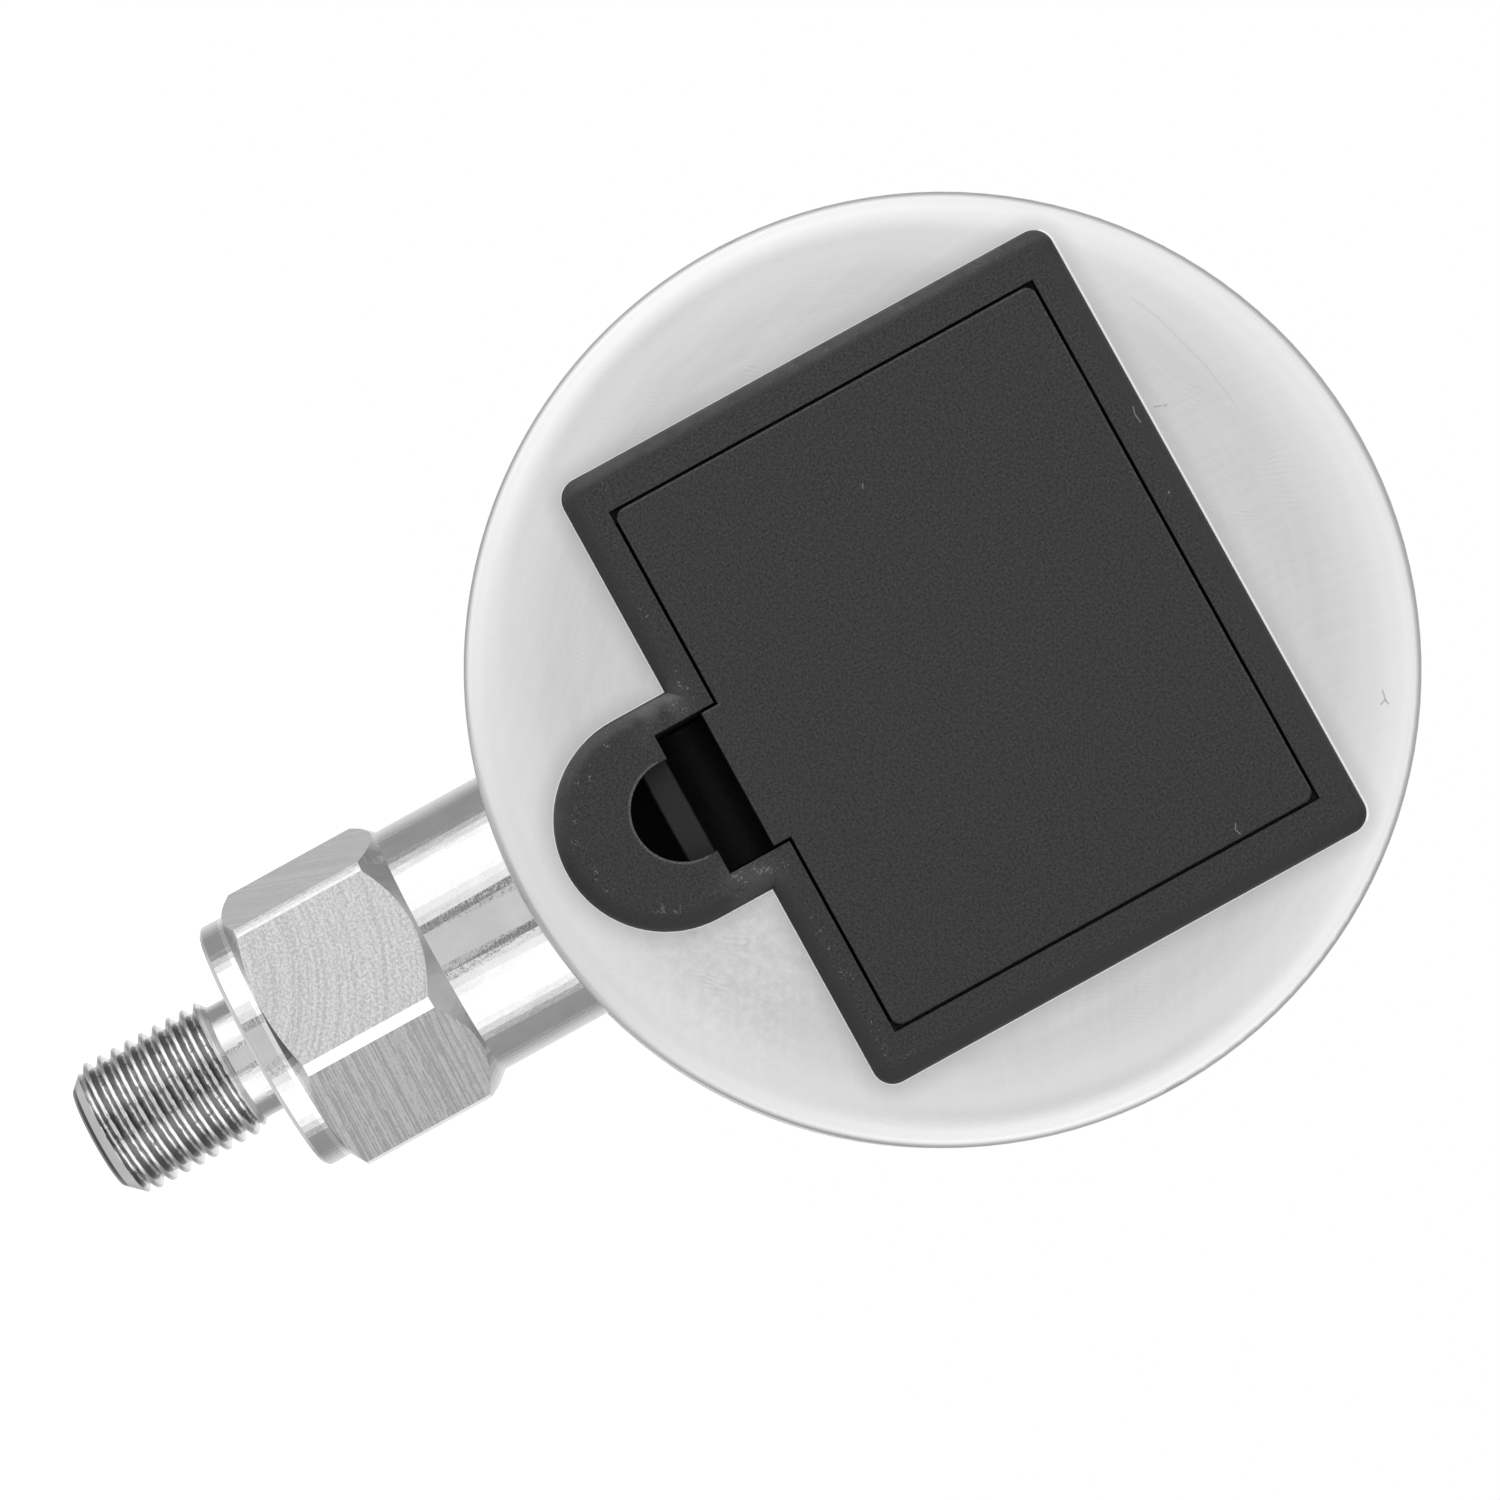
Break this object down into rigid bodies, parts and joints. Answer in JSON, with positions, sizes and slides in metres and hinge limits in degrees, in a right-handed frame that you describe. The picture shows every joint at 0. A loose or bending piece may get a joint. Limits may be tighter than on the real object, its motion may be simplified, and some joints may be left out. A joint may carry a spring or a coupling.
{
  "type": "digital pressure gauge",
  "caption": "Round battery-powered pressure gauge with a stainless case, digital display, push keys, a latched battery door on the back and a threaded stem below.",
  "frame": {"origin": "on the stem's axis, at the face of its collar that seals on the fitting", "axes": "-Z down the stem towards its tip, -Y the way the display faces, +Y the way the battery door faces, +X to the right when the display is read"},
  "size_m": [0.0916, 0.0446, 0.1378],
  "materials": {
    "turned_steel": "turned and polished",
    "case_steel": "satin",
    "black_moulding": "fine spark-eroded texture",
    "panel_moulding": "fine texture",
    "key_rubber": "satin",
    "clear_lens": "clear",
    "display_grey": "glass over grey",
    "white_moulding": "plain",
    "backlight_diffuser": "milky",
    "seal_rubber": "matt",
    "contact_rubber": "matt",
    "board_green": "solder mask",
    "chip_black": "matt",
    "can_aluminium": "bright",
    "ribbon_amber": "film",
    "zinc_screw": "bright",
    "nickel_contact": "bright",
    "cell_jacket": "printed film over steel"
  },
  "bodies": {
    "gauge": {"battery_box": "black_moulding", "battery_cell_lower": "cell_jacket", "battery_cell_middle": "cell_jacket", "battery_cell_upper": "cell_jacket", "bezel_ring": "case_steel", "board_screws": "zinc_screw", "case_shell": "case_steel", "circuit_board": "board_green", "contact_bridge_left": "nickel_contact", "contact_bridge_right": "nickel_contact", "contact_spring_lower": "nickel_contact", "contact_spring_middle": "nickel_contact", "contact_spring_upper": "nickel_contact", "contact_strip_lower": "contact_rubber", "contact_strip_upper": "contact_rubber", "contact_terminal_minus": "nickel_contact", "contact_terminal_plus": "nickel_contact", "converter_chip": "chip_black", "display_backlight": "backlight_diffuser", "display_glass_cell": "display_grey", "display_holder": "white_moulding", "display_lens": "clear_lens", "front_panel": "panel_moulding", "key_switch_left": "chip_black", "key_switch_middle": "chip_black", "key_switch_right": "chip_black", "panel_gasket": "seal_rubber", "power_capacitor": "can_aluminium", "pressure_connector": "turned_steel", "processor_chip": "chip_black", "ribbon_socket": "white_moulding", "saddle_washer": "seal_rubber", "sensor_cell": "turned_steel", "sensor_o_ring": "seal_rubber", "sensor_retainer": "turned_steel", "sensor_ribbon": "ribbon_amber", "stem_nut": "turned_steel"},
    "door": {"battery_door": "black_moulding"},
    "key_left": {"push_button_left": "key_rubber", "switch_plunger_left": "white_moulding"},
    "key_middle": {"push_button_middle": "key_rubber", "switch_plunger_middle": "white_moulding"},
    "key_right": {"push_button_right": "key_rubber", "switch_plunger_right": "white_moulding"}
  },
  "joints": [
    {"name": "door_hinge", "type": "hinge", "parent": "gauge", "child": "door", "pos_m": [0, 0.0209, 0.09795], "axis": [1, 0, 0], "range_deg": [0, 90]},
    {"name": "key_left_press", "type": "slide", "parent": "gauge", "child": "key_left", "axis": [0, 1, 0], "range_m": [0, 0.0005], "stiffness_N_per_m": 2000, "springref_m": -0.0003},
    {"name": "key_middle_press", "type": "slide", "parent": "gauge", "child": "key_middle", "axis": [0, 1, 0], "range_m": [0, 0.0005], "stiffness_N_per_m": 2000, "springref_m": -0.0003},
    {"name": "key_right_press", "type": "slide", "parent": "gauge", "child": "key_right", "axis": [0, 1, 0], "range_m": [0, 0.0005], "stiffness_N_per_m": 2000, "springref_m": -0.0003}
  ]
}
